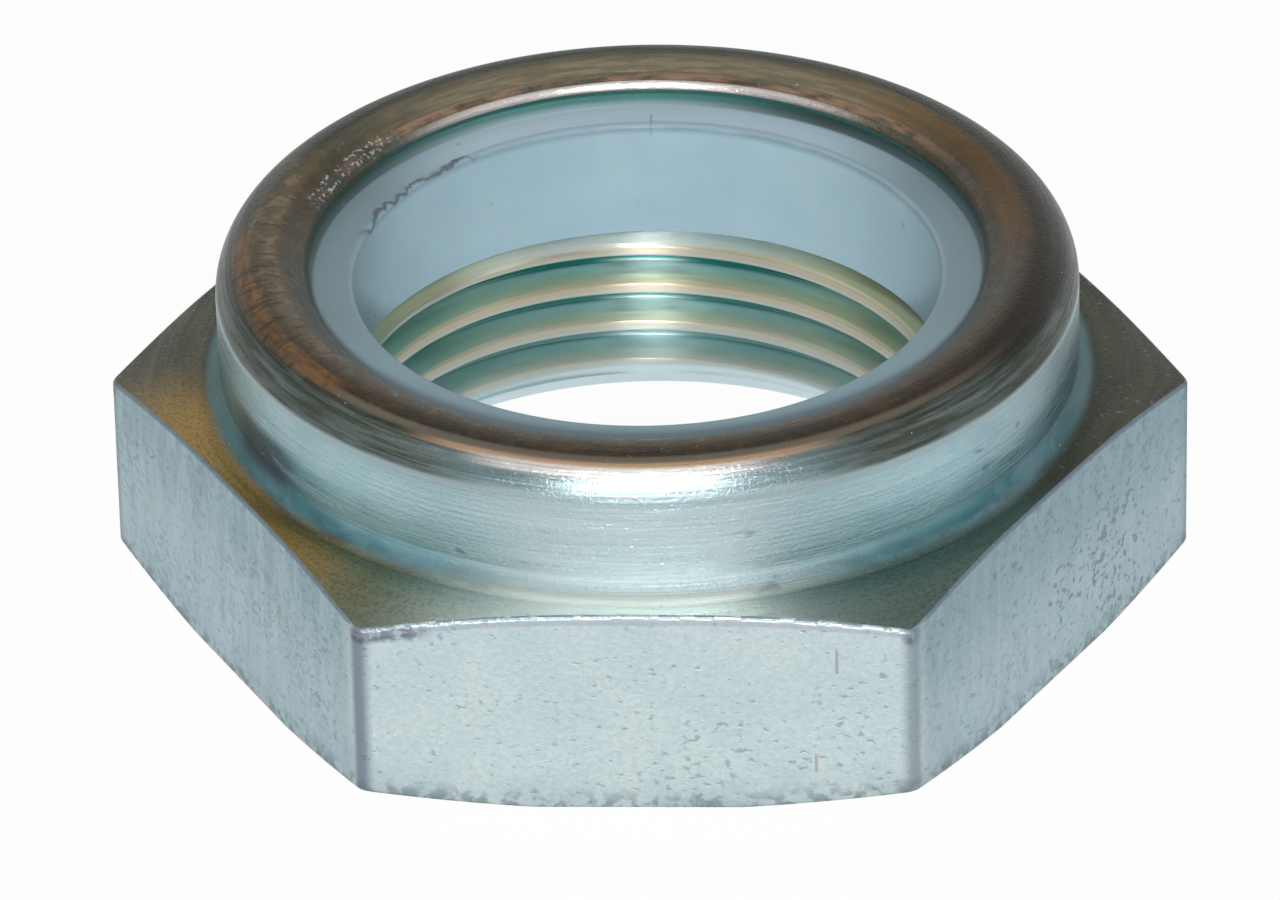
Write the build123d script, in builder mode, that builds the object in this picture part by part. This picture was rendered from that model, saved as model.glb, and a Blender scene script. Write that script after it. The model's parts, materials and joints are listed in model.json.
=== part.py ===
from build123d import *
from math import cos, radians, sin, tan
import os

# Thin nylon insert lock nut for a 1 in - 14 thread, 38.1 mm across flats.
# Origin: centre of the bearing face. +Z: thread axis, towards the locking collar.
# A flat of the hexagon faces -Y, two of its corners lie on the X axis.
# All sizes in millimetres and degrees.

# bore, plain at the thread's minor diameter
thread_minor_diameter = 23.6
countersink_depth = 2.0    # 90 degree countersink in the bearing face
lead_in = 0.5              # 45 degree lead-in under the insert

# nylon insert
insert_relief = 0.28       # insert's bore stands this far outside the minor diameter
insert_wall = 3.42
insert_recess = 0.75       # insert's seat lies this far below the hexagon's top
insert_clearance = 0.1     # between the insert and the pocket's wall
crimp_gap = 0.08           # between the insert and the lip's underside
insert_chamfer = 0.3       # top outer corner, clear of the pocket's corner
insert_edge_chamfer = 0.2  # top edge of the bore

# collar that holds the insert
collar_wall = 1.9
collar_height = 6.0
root_fillet = 0.8

# rolled-over lip
bend_radius = 1.95
bend_turn = 125.0          # from the upright wall, over the crest and down towards the bore
lip_overhang = 1.88        # reach of the lip over the pocket
lip_edge_thickness = 0.45
lip_edge_chamfer = 0.12
underside_slope = 12.0

# hexagon
flats_ledge = 1.55         # from the collar's wall out to the flats
hexagon_height = 9.0
edge_radius = 0.6          # rounded edges between the flats
base_ledge = 0.4           # bearing face's circle lies this far outside the flats
base_chamfer_angle = 17.0
crown_ledge = 0.35         # flat ring round the collar ends this far outside the flats
crown_chamfer_angle = 15.0

# radii, from the bore outwards
bore_radius = thread_minor_diameter / 2
countersink_radius = bore_radius + countersink_depth
insert_bore_radius = bore_radius + insert_relief
insert_outer_radius = insert_bore_radius + insert_wall
pocket_radius = insert_outer_radius + insert_clearance
lip_radius = pocket_radius - lip_overhang
collar_radius = pocket_radius + collar_wall
flat_radius = collar_radius + flats_ledge
corner_radius = flat_radius / cos(radians(30))
base_radius = flat_radius + base_ledge
crown_radius = flat_radius + crown_ledge

# heights, from the bearing face upwards
base_corner_height = (corner_radius - base_radius) * tan(radians(base_chamfer_angle))
crown_drop = (corner_radius - crown_radius) * tan(radians(crown_chamfer_angle))
seat_height = hexagon_height - insert_recess
nut_height = hexagon_height + collar_height
bend_height = nut_height - bend_radius

# the lip's top runs on straight from the end of the bend to the lip's edge
bend_end_r = collar_radius - bend_radius + bend_radius * cos(radians(bend_turn))
bend_end_z = bend_height + bend_radius * sin(radians(bend_turn))
lip_fall = tan(radians(bend_turn - 90))
lip_edge_top = bend_end_z - (bend_end_r - lip_radius) * lip_fall
lip_edge_bottom = lip_edge_top - lip_edge_thickness


def underside_height(radius):
    """Height of the lip's underside at a radius in the pocket."""
    return lip_edge_bottom + (radius - lip_radius) * tan(radians(underside_slope))


def corner_at(sketch, corner):
    """The vertex of a sketch that lies nearest to a point of its plane."""
    return sketch.vertices().sort_by_distance(corner)[0]


# Nut body: one steel piece, turned from hexagon bar, its lip rolled over the insert.
with BuildPart() as nut_body:
    with BuildSketch(Plane.XZ) as turned_section:
        with BuildLine():
            # bearing face, chamfered corners and the hexagon's top
            Polyline(
                (countersink_radius, 0),
                (base_radius, 0),
                (corner_radius, base_corner_height),
                (corner_radius, hexagon_height - crown_drop),
                (crown_radius, hexagon_height),
                (collar_radius + root_fillet, hexagon_height),
            )
            # hollow fillet, the collar's wall and the bend of the lip
            root = JernArc((collar_radius + root_fillet, hexagon_height), (-1, 0), root_fillet, -90)
            wall = Line(root @ 1, (collar_radius, bend_height))
            bend = JernArc(wall @ 1, wall % 1, bend_radius, bend_turn)
            # lip's edge, pocket under the lip, seat, lead-in, bore and countersink
            Polyline(
                bend @ 1,
                (lip_radius, lip_edge_top),
                (lip_radius, lip_edge_bottom),
                (pocket_radius, underside_height(pocket_radius)),
                (pocket_radius, seat_height),
                (bore_radius + lead_in, seat_height),
                (bore_radius, seat_height - lead_in),
                (bore_radius, countersink_depth),
                (countersink_radius, 0),
            )
        make_face()
        chamfer(corner_at(turned_section, (lip_radius, lip_edge_top)), length=lip_edge_chamfer)
        chamfer(corner_at(turned_section, (lip_radius, lip_edge_bottom)), length=lip_edge_chamfer)
    revolve(axis=Axis.Z)
    with BuildSketch():
        RegularPolygon(radius=flat_radius, side_count=6, major_radius=False)
        fillet(vertices(), radius=edge_radius)
    extrude(amount=nut_height, mode=Mode.INTERSECT)

# Nylon insert: a plain ring on the seat, its top held under the lip.
top_gap = crimp_gap / cos(radians(underside_slope))
insert_top = lip_edge_bottom - top_gap
insert_shoulder = underside_height(insert_outer_radius) - top_gap

with BuildPart() as nylon_ring:
    with BuildSketch(Plane.XZ) as ring_section:
        with BuildLine():
            Polyline(
                (insert_bore_radius, seat_height),
                (insert_outer_radius, seat_height),
                (insert_outer_radius, insert_shoulder),
                (lip_radius, insert_top),
                (insert_bore_radius, insert_top),
                close=True,
            )
        make_face()
        chamfer(corner_at(ring_section, (insert_outer_radius, insert_shoulder)), length=insert_chamfer)
        chamfer(corner_at(ring_section, (insert_bore_radius, insert_top)), length=insert_edge_chamfer)
    revolve(axis=Axis.Z)

nut_body.part.label = "nut_body"
nylon_ring.part.label = "nylon_ring"

print(f"nut {2 * flat_radius:.2f} across flats x {nut_height:.2f}, lip opening {2 * lip_radius:.2f}")
print(f"insert {2 * insert_bore_radius:.2f} x {2 * insert_outer_radius:.2f} x {insert_top - seat_height:.2f}")

os.makedirs("parts", exist_ok=True)
export_step(nut_body.part, "parts/nut_body.step")
export_step(nylon_ring.part, "parts/nylon_ring.step")
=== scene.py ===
"""Nylon insert lock nut: zinc plated steel body with a threaded bore, and a nylon ring under its lip."""

import json
import logging
from collections.abc import Callable
from dataclasses import dataclass
from enum import Enum
from math import cos, hypot, pi, radians, sin, tan

import bpy
from mathutils import Matrix, Vector

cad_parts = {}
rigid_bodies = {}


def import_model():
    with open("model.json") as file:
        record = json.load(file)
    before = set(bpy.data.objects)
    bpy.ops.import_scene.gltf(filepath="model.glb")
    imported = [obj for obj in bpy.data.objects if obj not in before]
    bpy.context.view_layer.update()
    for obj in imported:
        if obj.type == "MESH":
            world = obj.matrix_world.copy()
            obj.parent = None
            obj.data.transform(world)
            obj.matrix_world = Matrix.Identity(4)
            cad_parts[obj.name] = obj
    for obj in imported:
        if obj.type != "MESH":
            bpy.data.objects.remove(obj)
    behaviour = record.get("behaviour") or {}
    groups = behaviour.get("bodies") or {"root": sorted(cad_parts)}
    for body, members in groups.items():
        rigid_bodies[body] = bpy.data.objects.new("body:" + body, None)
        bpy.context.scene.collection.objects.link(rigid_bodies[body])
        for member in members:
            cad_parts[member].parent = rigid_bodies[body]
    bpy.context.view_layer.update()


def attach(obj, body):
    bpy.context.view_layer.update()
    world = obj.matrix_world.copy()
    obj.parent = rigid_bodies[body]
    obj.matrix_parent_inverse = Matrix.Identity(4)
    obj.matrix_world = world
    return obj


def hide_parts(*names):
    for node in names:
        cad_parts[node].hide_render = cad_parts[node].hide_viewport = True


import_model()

LOG = logging.getLogger("lock_nut")
MM = 0.001
TURN = 2 * pi
ROW_UV = "turned"
RUN_ZERO = 0.5  # where the run of nought lies in the UV map
RUN_UNIT = 100.0  # millimetres of run in one unit of the UV map
IMAGE_WIDTH = 1280
SENSOR_WIDTH = 36.0
ACROSS_FLATS = 38.1

Place = tuple[float, float]


class Finish(Enum):
    """Which surface of the nut a strip of the section belongs to."""

    FLATS = 0
    TURNED = 1
    BORE = 2
    HIDDEN = 3
    NYLON = 4


def titled(name: str) -> str:
    """A field's name as the name of a socket."""
    return name.replace("_", " ").title()


def link(name: str, data: object) -> bpy.types.Object:
    """A new object in the scene.

    Args:
        name: Name of the object.
        data: Its mesh, light or camera.

    Returns:
        The object, in the scene.
    """
    thing = bpy.data.objects.new(name, data)
    bpy.context.scene.collection.objects.link(thing)
    return thing


def operator(kind: str, turned: bool = False) -> Callable[..., "Number"]:
    """A method of a number that adds one Math node.

    Args:
        kind: The node's operation.
        turned: Whether the number itself stands last.

    Returns:
        The method, which takes the other numbers.
    """

    def apply(self: "Number", *others: object) -> "Number":
        """One Math node on this number and the others."""
        return self.graph.math(kind, *((*others, self) if turned else (self, *others)))

    return apply


class Number:
    """A value that flows through a node tree, with the usual operators."""

    __add__ = __radd__ = operator("ADD")
    __sub__ = operator("SUBTRACT")
    __rsub__ = operator("SUBTRACT", turned=True)
    __mul__ = __rmul__ = operator("MULTIPLY")
    __truediv__ = operator("DIVIDE")
    __lt__ = operator("LESS_THAN")
    __gt__ = operator("GREATER_THAN")
    least = operator("MINIMUM")
    most = operator("MAXIMUM")
    soft_least = operator("SMOOTH_MIN")
    soft_most = operator("SMOOTH_MAX")
    floor = operator("FLOOR")
    fraction = operator("FRACT")
    size = operator("ABSOLUTE")
    sine = operator("SINE")
    cosine = operator("COSINE")
    root = operator("SQRT")
    power = operator("POWER")

    def __init__(self, graph: "Graph", socket: bpy.types.NodeSocket) -> None:
        """Wraps an output socket of a graph."""
        self.graph = graph
        self.socket = socket

    def mix(self, other: object, share: object) -> "Number":
        """This number turned into another by a share of 0 to 1."""
        return self + (self.graph.lift(other) - self) * share

    def ramp(self, low: object, high: object) -> "Number":
        """Rises smoothly from nought at low to one at high."""
        ends = {"Value": self, "From Min": low, "From Max": high}
        return self.graph.value("ShaderNodeMapRange", ends, interpolation_type="SMOOTHSTEP")

    def hump(self, centre: object, half_width: object, soft: object) -> "Number":
        """One within half_width of centre, falling smoothly to nought over soft."""
        away = (self - centre).size()
        return 1.0 - away.ramp(half_width, self.graph.lift(half_width) + soft)


class Graph:
    """Adds nodes to a tree and wires them."""

    def __init__(self, tree: bpy.types.NodeTree) -> None:
        """Takes the tree that the nodes go into."""
        self.tree = tree

    def feed(self, socket: bpy.types.NodeSocket, value: object) -> None:
        """Links a socket to a number or another socket, or sets its value.

        Args:
            socket: The input.
            value: Number, socket or constant.
        """
        if isinstance(value, Number):
            value = value.socket
        if isinstance(value, bpy.types.NodeSocket):
            self.tree.links.new(value, socket)
        else:
            socket.default_value = value

    def add(self, kind: str, inputs: dict | None = None, **settings: object) -> bpy.types.Node:
        """Adds one node.

        Args:
            kind: The node's type.
            inputs: Values or sockets for its inputs, by name or by place.
            **settings: The node's own settings.

        Returns:
            The new node.
        """
        node = self.tree.nodes.new(kind)
        for name, value in settings.items():
            setattr(node, name, value)
        for name, value in (inputs or {}).items():
            named = (s for s in node.inputs if s.name == name and s.enabled)
            self.feed(node.inputs[name] if isinstance(name, int) else next(named), value)
        return node

    def output(self, kind: str, inputs: dict | None = None, **settings: object) -> bpy.types.NodeSocket:
        """Adds one node and gives its first output."""
        return self.add(kind, inputs, **settings).outputs[0]

    def value(self, kind: str, inputs: dict | None = None, **settings: object) -> Number:
        """Adds one node and gives its first output as a number."""
        return Number(self, self.output(kind, inputs, **settings))

    def math(self, operation: str, *values: object) -> Number:
        """One Math node."""
        return self.value("ShaderNodeMath", dict(enumerate(values)), operation=operation)

    def lift(self, value: object) -> Number:
        """A plain number as a value of this tree.

        Args:
            value: A constant, or a number already.

        Returns:
            The number.
        """
        if isinstance(value, Number):
            return value
        number = self.value("ShaderNodeValue")
        number.socket.default_value = value
        return number

    def noise(self, inputs: dict, **settings: object) -> Number:
        """Noise between nought and one."""
        return self.value("ShaderNodeTexNoise", inputs, **settings)

    def vector(self, x: object, y: object, z: object) -> bpy.types.NodeSocket:
        """A vector of three numbers."""
        return self.output("ShaderNodeCombineXYZ", {0: x, 1: y, 2: z})

    def parts(self, vector: object) -> tuple[Number, Number, Number]:
        """The three numbers of a vector."""
        node = self.add("ShaderNodeSeparateXYZ", {0: vector})
        return tuple(Number(self, output) for output in node.outputs)


@dataclass(frozen=True)
class SectionPoint:
    """One point of a turned section, with what the turning tree has to know about it."""

    radius: float
    height: float
    finish: Finish
    base: float = 0.0
    flat: float = 0.0
    crown: float = 0.0
    thread: float = 0.0
    along: float = 0.0
    lip: float = 0.0
    sag: float = 0.0
    lift: float = 0.0
    inset: float = 0.0


WEIGHTS = ("base", "flat", "crown", "thread", "along", "lip", "sag")
LENGTHS = ("lift", "inset")


def points_on(curve: list[Place], finish: Finish, **marks: float) -> list[SectionPoint]:
    """Section points on a curve, all with the same finish and marks."""
    return [SectionPoint(r, z, finish, **marks) for r, z in curve]


def arc(centre: Place, radius: float, start: float, end: float, steps: int) -> list[Place]:
    """Points on an arc of a section, both ends included.

    Args:
        centre: Radius and height of the arc's centre.
        radius: The arc's radius.
        start: Start angle in degrees, 0 outwards and 90 upwards.
        end: End angle in degrees.
        steps: Number of chords.

    Returns:
        Points as (radius, height).
    """
    angles = [radians(start + (end - start) * step / steps) for step in range(steps + 1)]
    return [(centre[0] + radius * cos(angle), centre[1] + radius * sin(angle)) for angle in angles]


def between(start: Place, end: Place, steps: int) -> list[Place]:
    """Points on a straight run of a section, both ends left out."""
    return [tuple(a + (b - a) * k / steps for a, b in zip(start, end)) for k in range(1, steps)]


def section_runs(section: list[SectionPoint], origin: int) -> list[float]:
    """Distance of every point along the section from the point at origin, in millimetres.

    Args:
        section: Points of the section.
        origin: Index of the point with a run of nought.

    Returns:
        The run of every point.
    """
    runs = [0.0]
    for first, second in zip(section, section[1:]):
        (r0, z0), (r1, z1) = ((p.radius - p.inset, p.height + p.lift) for p in (first, second))
        runs.append(runs[-1] + hypot(r1 - r0, z1 - z0))
    return [distance - runs[origin] for distance in runs]


def nearest(section: list[SectionPoint], place: Place) -> int:
    """Index of the section's point that lies nearest to a place."""
    away = [hypot(p.radius - place[0], p.height - place[1]) for p in section]
    return away.index(min(away))


class TurningTree:
    """Geometry Nodes tree that turns a section round the Z axis, cuts it to a hexagon and threads its bore."""

    CREASE = radians(32)
    MERGE = 0.000002
    FLOATS = {
        "Crowding": 0.75,
        "Flat Radius": 1.0,
        "Edge Radius": 0.0006,
        "Base Radius": 1.0,
        "Base Slope": 0.3,
        "Crown Radius": 1.0,
        "Crown Slope": 0.3,
        "Crown Blend": 0.0,
        "Hexagon Height": 0.009,
        "Pitch": 0.001814,
        "Thread Start": 0.0,
        "Crest Radius": 0.0118,
        "Root Radius": 0.01278,
        "Sharp Radius": 0.012978,
        "Crest Rounding": 0.00008,
        "Countersink Depth": 0.002,
        "Lead In": 0.0005,
        "Seat Height": 0.00825,
        "Lip Tilt": 0.0,
        "Lip Lift": 0.0,
        "Lip Sag": 0.0,
    }

    def __init__(self) -> None:
        """Builds the tree."""
        self.tree = bpy.data.node_groups.new("Turned and threaded piece", "GeometryNodeTree")
        self.ids: dict[str, str] = {}
        self._socket("Geometry", "Geometry")
        for name in ("Section Points", "Steps"):
            self._socket(name, "Int")
        for name, value in self.FLOATS.items():
            self._socket(name, "Float").default_value = value
        for finish in Finish:
            self._socket(f"{finish.name.title()} Material", "Material")
        self.tree.interface.new_socket("Geometry", in_out="OUTPUT", socket_type="NodeSocketGeometry")
        self._build()

    def _socket(self, name: str, kind: str) -> bpy.types.NodeTreeInterfaceSocket:
        """Adds an input and keeps its identifier.

        Args:
            name: Name of the input.
            kind: Kind of its socket.

        Returns:
            The input.
        """
        socket = self.tree.interface.new_socket(name, in_out="INPUT", socket_type=f"NodeSocket{kind}")
        self.ids[name] = socket.identifier
        return socket

    @staticmethod
    def _sample(g: Graph, section: object, name: str, row: Number) -> Number:
        """A float attribute of the section at a row.

        Args:
            g: The graph.
            section: Socket with the section.
            name: The attribute.
            row: Index of the row.

        Returns:
            The attribute's value.
        """
        attribute = g.output("GeometryNodeInputNamedAttribute", {"Name": name}, data_type="FLOAT")
        inputs = {"Geometry": section, "Value": attribute, "Index": row}
        return g.value("GeometryNodeSampleIndex", inputs, data_type="FLOAT", domain="POINT")

    @staticmethod
    def _outline(angle: Number, size: dict[str, Number]) -> Number:
        """Distance from the axis to the hexagon's rounded outline at an angle.

        Args:
            angle: Angle round the axis, in radians.
            size: Inputs of the tree.

        Returns:
            The distance.
        """
        sixth = pi / 3
        local = ((angle / sixth).fraction() * sixth - sixth / 2).size()
        from_corner = sixth / 2 - local
        inner = size["Flat Radius"] - size["Edge Radius"]
        centre = inner / cos(sixth / 2)
        across = centre * from_corner.sine()
        rounded = centre * from_corner.cosine() + (size["Edge Radius"].power(2.0) - across.power(2.0)).most(0.0).root()
        straight = size["Flat Radius"] / local.cosine()
        return straight.mix(rounded, straight * local.sine() > inner * tan(sixth / 2))

    @staticmethod
    def _thread(height: Number, angle: Number, size: dict[str, Number]) -> Number:
        """Radius of the tapped bore, with its countersink and lead-in, at a height and an angle.

        Args:
            height: Height on the thread.
            angle: Angle round the axis, in radians.
            size: Inputs of the tree.

        Returns:
            The radius.
        """
        turns = (height - size["Thread Start"]) / size["Pitch"] - angle / TURN
        off_root = (turns.fraction() - 0.5).size() * size["Pitch"]
        groove = size["Sharp Radius"] - off_root / tan(radians(30))
        rounding = size["Crest Rounding"]
        cut = groove.soft_least(size["Root Radius"], rounding).soft_most(size["Crest Radius"], rounding)
        sink = size["Crest Radius"] + size["Countersink Depth"] - height
        lead = size["Crest Radius"] + size["Lead In"] + height - size["Seat Height"]
        return cut.most(sink).most(lead)

    @staticmethod
    def _height(flat_z: Number, radius: Number, outline: Number, size: dict, mark: dict) -> Number:
        """Height of a point of the steel outside its bore, by the marks of its row.

        Args:
            flat_z: Height in the section.
            radius: Radius of the point.
            outline: Radius of the hexagon at its angle.
            size: Inputs of the tree.
            mark: Marks of the row.

        Returns:
            The height.
        """

        def base_height(at: Number) -> Number:
            """Height of the lower corner chamfer at a radius."""
            return (at - size["Base Radius"]).most(0.0) * size["Base Slope"]

        def crown_height(at: Number) -> Number:
            """Height of the crown at a radius."""
            past = (at - size["Crown Radius"]).soft_most(0.0, size["Crown Blend"])
            return size["Hexagon Height"] - past * size["Crown Slope"]

        side = base_height(outline).mix(crown_height(outline), mark["along"])
        height = flat_z.mix(base_height(radius), mark["base"])
        height = height.mix(crown_height(radius), mark["crown"])
        return height.mix(side, mark["flat"]) + mark["lift"]

    def _build(self) -> None:
        """Wires the tree."""
        g = Graph(self.tree)
        group = g.add("NodeGroupInput")
        size = {s.name: Number(g, s) for s in group.outputs if s.name}
        section = group.outputs[0]
        rows, steps = size["Section Points"], size["Steps"]
        grid = g.output("GeometryNodeMeshGrid", {"Vertices X": steps + 1.0, "Vertices Y": rows})
        index = g.value("GeometryNodeInputIndex")
        step = ((index + 0.5) / rows).floor()
        row = index - step * rows
        even = step * TURN / steps
        angle = even - (even * 6.0).sine() * size["Crowding"] / 6.0

        place = {"Geometry": section, "Value": g.output("GeometryNodeInputPosition"), "Index": row}
        flat_r, _, flat_z = g.parts(g.output("GeometryNodeSampleIndex", place, data_type="FLOAT_VECTOR"))
        mark = {name: self._sample(g, section, name, row) for name in (*WEIGHTS, *LENGTHS, "run")}
        outline = self._outline(angle, size)
        radius = flat_r.least(outline - mark["inset"])
        bore_height = (flat_z + size["Pitch"] * angle / TURN).most(0.0).least(size["Seat Height"])
        height = self._height(flat_z, radius, outline, size, mark).mix(bore_height, mark["thread"])
        height = height + mark["lip"] * (size["Lip Lift"] + size["Lip Tilt"] * angle.sine())
        front = angle.sine().least(0.0)
        height = height - mark["sag"] * size["Lip Sag"] * front * front
        radius = radius.mix(self._thread(bore_height, angle, size), mark["thread"])
        spot = g.vector(radius * angle.cosine(), radius * angle.sine(), height)
        moved = g.output("GeometryNodeSetPosition", {"Geometry": grid, "Position": spot})

        spread = {"Value": g.vector(even / TURN, mark["run"], 0.0)}
        uv = g.output("GeometryNodeFieldOnDomain", spread, domain="POINT", data_type="FLOAT_VECTOR")
        mapped = self._store(g, moved, ROW_UV, uv, "FLOAT2", "CORNER")
        face_row = g.value("GeometryNodeFieldOnDomain", {"Value": row}, domain="POINT", data_type="FLOAT").floor()
        finish = self._sample(g, section, "finish", face_row)
        marked = self._store(g, mapped, "finish", finish, "FLOAT", "FACE")
        merged = g.output("GeometryNodeMergeByDistance", {"Geometry": marked, "Distance": self.MERGE})
        crease = g.value("GeometryNodeInputMeshEdgeAngle") > self.CREASE
        sharp = {"Geometry": merged, "Selection": crease, "Shade Smooth": False}
        smooth = g.output("GeometryNodeSetShadeSmooth", sharp, domain="EDGE")
        out = g.output("GeometryNodeRealizeInstances", {"Geometry": smooth})
        number = g.value("GeometryNodeInputNamedAttribute", {"Name": "finish"}, data_type="FLOAT")
        for kind in Finish:
            chosen = (number - float(kind.value)).size() < 0.5
            material = size[f"{kind.name.title()} Material"]
            out = g.output("GeometryNodeSetMaterial", {"Geometry": out, "Selection": chosen, "Material": material})
        g.add("NodeGroupOutput", {0: out})

    @staticmethod
    def _store(g: Graph, mesh: object, name: str, value: object, kind: str, domain: str) -> bpy.types.NodeSocket:
        """Stores a named attribute on the mesh."""
        inputs = {"Geometry": mesh, "Name": name, "Value": value}
        return g.output("GeometryNodeStoreNamedAttribute", inputs, data_type=kind, domain=domain)

    def turn(
        self, name: str, section: list[SectionPoint], origin: int, steps: int, sizes: dict, materials: dict
    ) -> bpy.types.Object:
        """Turns one section into a plain mesh object.

        Args:
            name: Name of the object.
            section: Closed section, in millimetres, its last point on its first.
            origin: Index of the point that runs along the section are measured from.
            steps: Number of steps round the axis.
            sizes: Inputs of the tree, in metres.
            materials: Material of each finish in the section.

        Returns:
            The object, at the origin, with no modifier left on it.
        """
        source = bpy.data.meshes.new(name + "_section")
        source.from_pydata([(p.radius * MM, 0.0, p.height * MM) for p in section], [], [])
        columns = {key: [getattr(p, key) for p in section] for key in WEIGHTS}
        columns |= {key: [getattr(p, key) * MM for p in section] for key in LENGTHS}
        columns["run"] = [RUN_ZERO + distance / RUN_UNIT for distance in section_runs(section, origin)]
        columns["finish"] = [float(p.finish.value) for p in section]
        for key, values in columns.items():
            source.attributes.new(key, "FLOAT", "POINT").data.foreach_set("value", values)
        piece = link(name, source)
        modifier = piece.modifiers.new("Turning", "NODES")
        modifier.node_group = self.tree
        settings = {"Section Points": len(section), "Steps": steps} | sizes
        settings |= {f"{finish.name.title()} Material": material for finish, material in materials.items()}
        for key, value in settings.items():
            modifier[self.ids[key]] = value
        graph = bpy.context.evaluated_depsgraph_get()
        shaped = piece.evaluated_get(graph)
        mesh = bpy.data.meshes.new_from_object(shaped, preserve_all_data_layers=True, depsgraph=graph)
        piece.modifiers.clear()
        piece.data = mesh
        mesh.name = name
        bpy.data.meshes.remove(source)
        LOG.info("%s: %d vertices, %d faces", name, len(mesh.vertices), len(mesh.polygons))
        return piece


@dataclass
class NutBody:
    """Steel body: hexagon, collar, rolled lip, pocket, seat and threaded bore. Sizes in millimetres and degrees."""

    crest_radius: float = 11.8
    root_radius: float = 12.78
    pitch: float = 1.814
    thread_start: float = -0.164
    countersink_depth: float = 2.0
    lead_in: float = 0.5
    seat_height: float = 8.25
    seat_ledge: float = 0.8
    hexagon_height: float = 9.0
    flat_radius: float = 19.049
    edge_radius: float = 0.6
    edge_break: float = 0.11
    base_radius: float = 19.45
    base_angle: float = 17.0
    crown_radius: float = 19.4
    crown_angle: float = 15.0
    crown_blend: float = 0.9
    collar_radius: float = 17.5
    root_fillet: float = 0.8
    root_ease: float = 0.25
    nut_height: float = 14.999
    bend_radius: float = 1.95
    bend_turn: float = 125.0
    lip_radius: float = 13.72
    lip_edge: float = 0.45
    lip_upper_rounding: float = 0.35
    lip_lower_rounding: float = 0.12
    underside_slope: float = 12.0
    underside_step: float = 0.9
    pocket_radius: float = 15.6
    lip_tilt: float = 0.2
    lip_lift: float = 0.05
    lip_sag: float = 0.3
    sag_start: float = 20.0
    sag_span: float = 80.0
    sag_depth: float = 0.4
    tilt_reach: float = 0.3
    steps: int = 540

    FLAT_SHARES = (0.0, 0.04, 0.1, 0.2, 0.35, 0.5, 0.65, 0.8, 0.9, 0.96, 1.0)
    CROWN_SHARES = (1.0, 0.67, 0.33, 0.0, -0.33, -0.67)
    THREAD_PHASES = (0.0, 0.085, 0.125, 0.165, 0.28, 0.4, 0.4375, 0.475, 0.525, 0.5625, 0.6, 0.72, 0.835, 0.875, 0.915)
    THREAD_TURNS = range(-3, 8)
    TREE_LENGTHS = (
        "flat_radius", "edge_radius", "base_radius", "crown_radius", "crown_blend", "hexagon_height", "pitch",
        "thread_start", "crest_radius", "root_radius", "countersink_depth", "lead_in", "seat_height", "lip_tilt",
        "lip_lift", "lip_sag",
    )

    def thread_rows(self) -> list[SectionPoint]:
        """Rows that follow the thread, from the seat down to the bearing face.

        Returns:
            Points on the bore.
        """
        rows = [self.thread_start + self.pitch * (turn + p) for turn in self.THREAD_TURNS for p in self.THREAD_PHASES]
        low = max(k for k, z in enumerate(rows) if z <= -self.pitch)
        high = min(k for k, z in enumerate(rows) if z >= self.seat_height)
        curve = [(self.crest_radius, z) for z in reversed(rows[low : high + 1])]
        return points_on(curve, Finish.BORE, thread=1.0)

    def hexagon_points(self) -> list[SectionPoint]:
        """The bearing face, the flats and the crown.

        Returns:
            Points from the countersink to the crown's inner edge.
        """
        sink, base = (self.crest_radius + self.countersink_depth, 0.0), (self.base_radius, 0.0)
        corner, top, ease = self.flat_radius / cos(radians(30)), self.hexagon_height, self.edge_break
        points = points_on([sink, *between(sink, base, 4)], Finish.HIDDEN)
        points += points_on([base], Finish.HIDDEN, base=1.0, inset=ease)
        points += points_on([(corner, 0.0)], Finish.FLATS, base=1.0, inset=ease)
        points += points_on([(corner, 0.0)], Finish.FLATS, base=1.0, inset=0.35 * ease, lift=0.25 * ease)
        for share in self.FLAT_SHARES:
            edge = {0.0: ease, 1.0: -ease}.get(share, 0.0)
            points += points_on([(corner, top * share)], Finish.FLATS, flat=1.0, along=share, lift=edge)
        points += points_on([(corner, top)], Finish.FLATS, crown=1.0, inset=0.3 * ease, lift=-0.3 * ease)
        crown = [(corner, top)]
        crown += [(self.crown_radius + share * self.crown_blend, top) for share in self.CROWN_SHARES]
        return points + points_on(crown, Finish.TURNED, crown=1.0, inset=ease)

    def collar_points(self) -> list[SectionPoint]:
        """The hollow at the collar's foot, its wall, the bend, the lip, the pocket and the seat.

        Returns:
            Points from the collar's foot to the seat.
        """
        top, foot = self.hexagon_height, self.collar_radius + self.root_fillet
        bend_height = self.nut_height - self.bend_radius
        curve = [(foot + self.root_ease, top)]
        curve += arc((foot, top + self.root_fillet), self.root_fillet, -90, -180, 9)
        curve += between((self.collar_radius, top + self.root_fillet), (self.collar_radius, bend_height), 7)
        points = points_on(curve, Finish.TURNED)
        bend = arc((self.collar_radius - self.bend_radius, bend_height), self.bend_radius, 0, self.bend_turn, 26)
        for k, (r, z) in enumerate(bend):
            turned = k / (len(bend) - 1) * self.bend_turn
            share = min(1.0, max(0.0, (turned - self.sag_start) / self.sag_span))
            points.append(SectionPoint(r, z, Finish.TURNED, sag=share * share * (3.0 - 2.0 * share)))
        return points + self.lip_points(bend[-1])

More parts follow.
